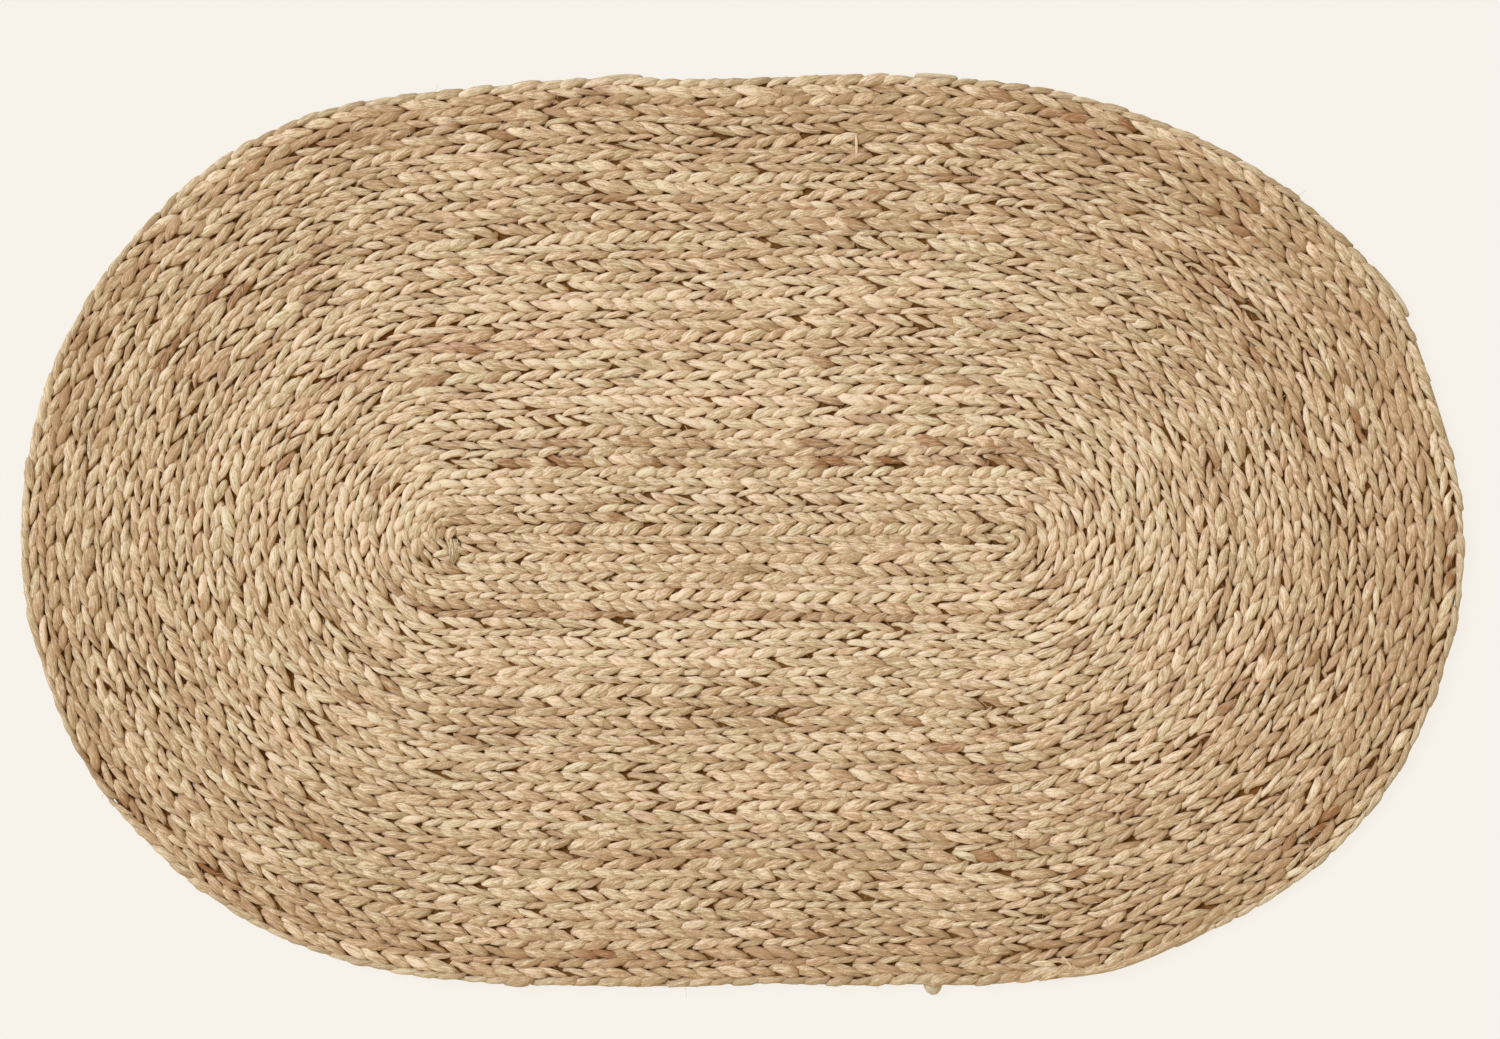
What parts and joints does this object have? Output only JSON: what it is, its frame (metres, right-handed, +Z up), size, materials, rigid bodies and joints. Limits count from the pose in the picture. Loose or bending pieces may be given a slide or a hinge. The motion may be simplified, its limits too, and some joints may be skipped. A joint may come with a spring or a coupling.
{
  "type": "oval coiled braided jute doormat",
  "caption": "Oval doormat of one flat three-strand jute braid, coiled round a straight core and sewn edge to edge, with a thinned outer end and a flat underside.",
  "frame": {"origin": "under the middle of the mat's bounding box, on the surface it lies on", "axes": "+Z up through the mat, +X along its length and its straight core, +Y across it, towards the side with one row more"},
  "size_m": [0.8004, 0.5054, 0.008],
  "materials": {
    "jute": "matt braided natural fibre, straw to tan with browner strands"
  },
  "bodies": {
    "root": {"coiled_plait": "jute"}
  },
  "joints": []
}
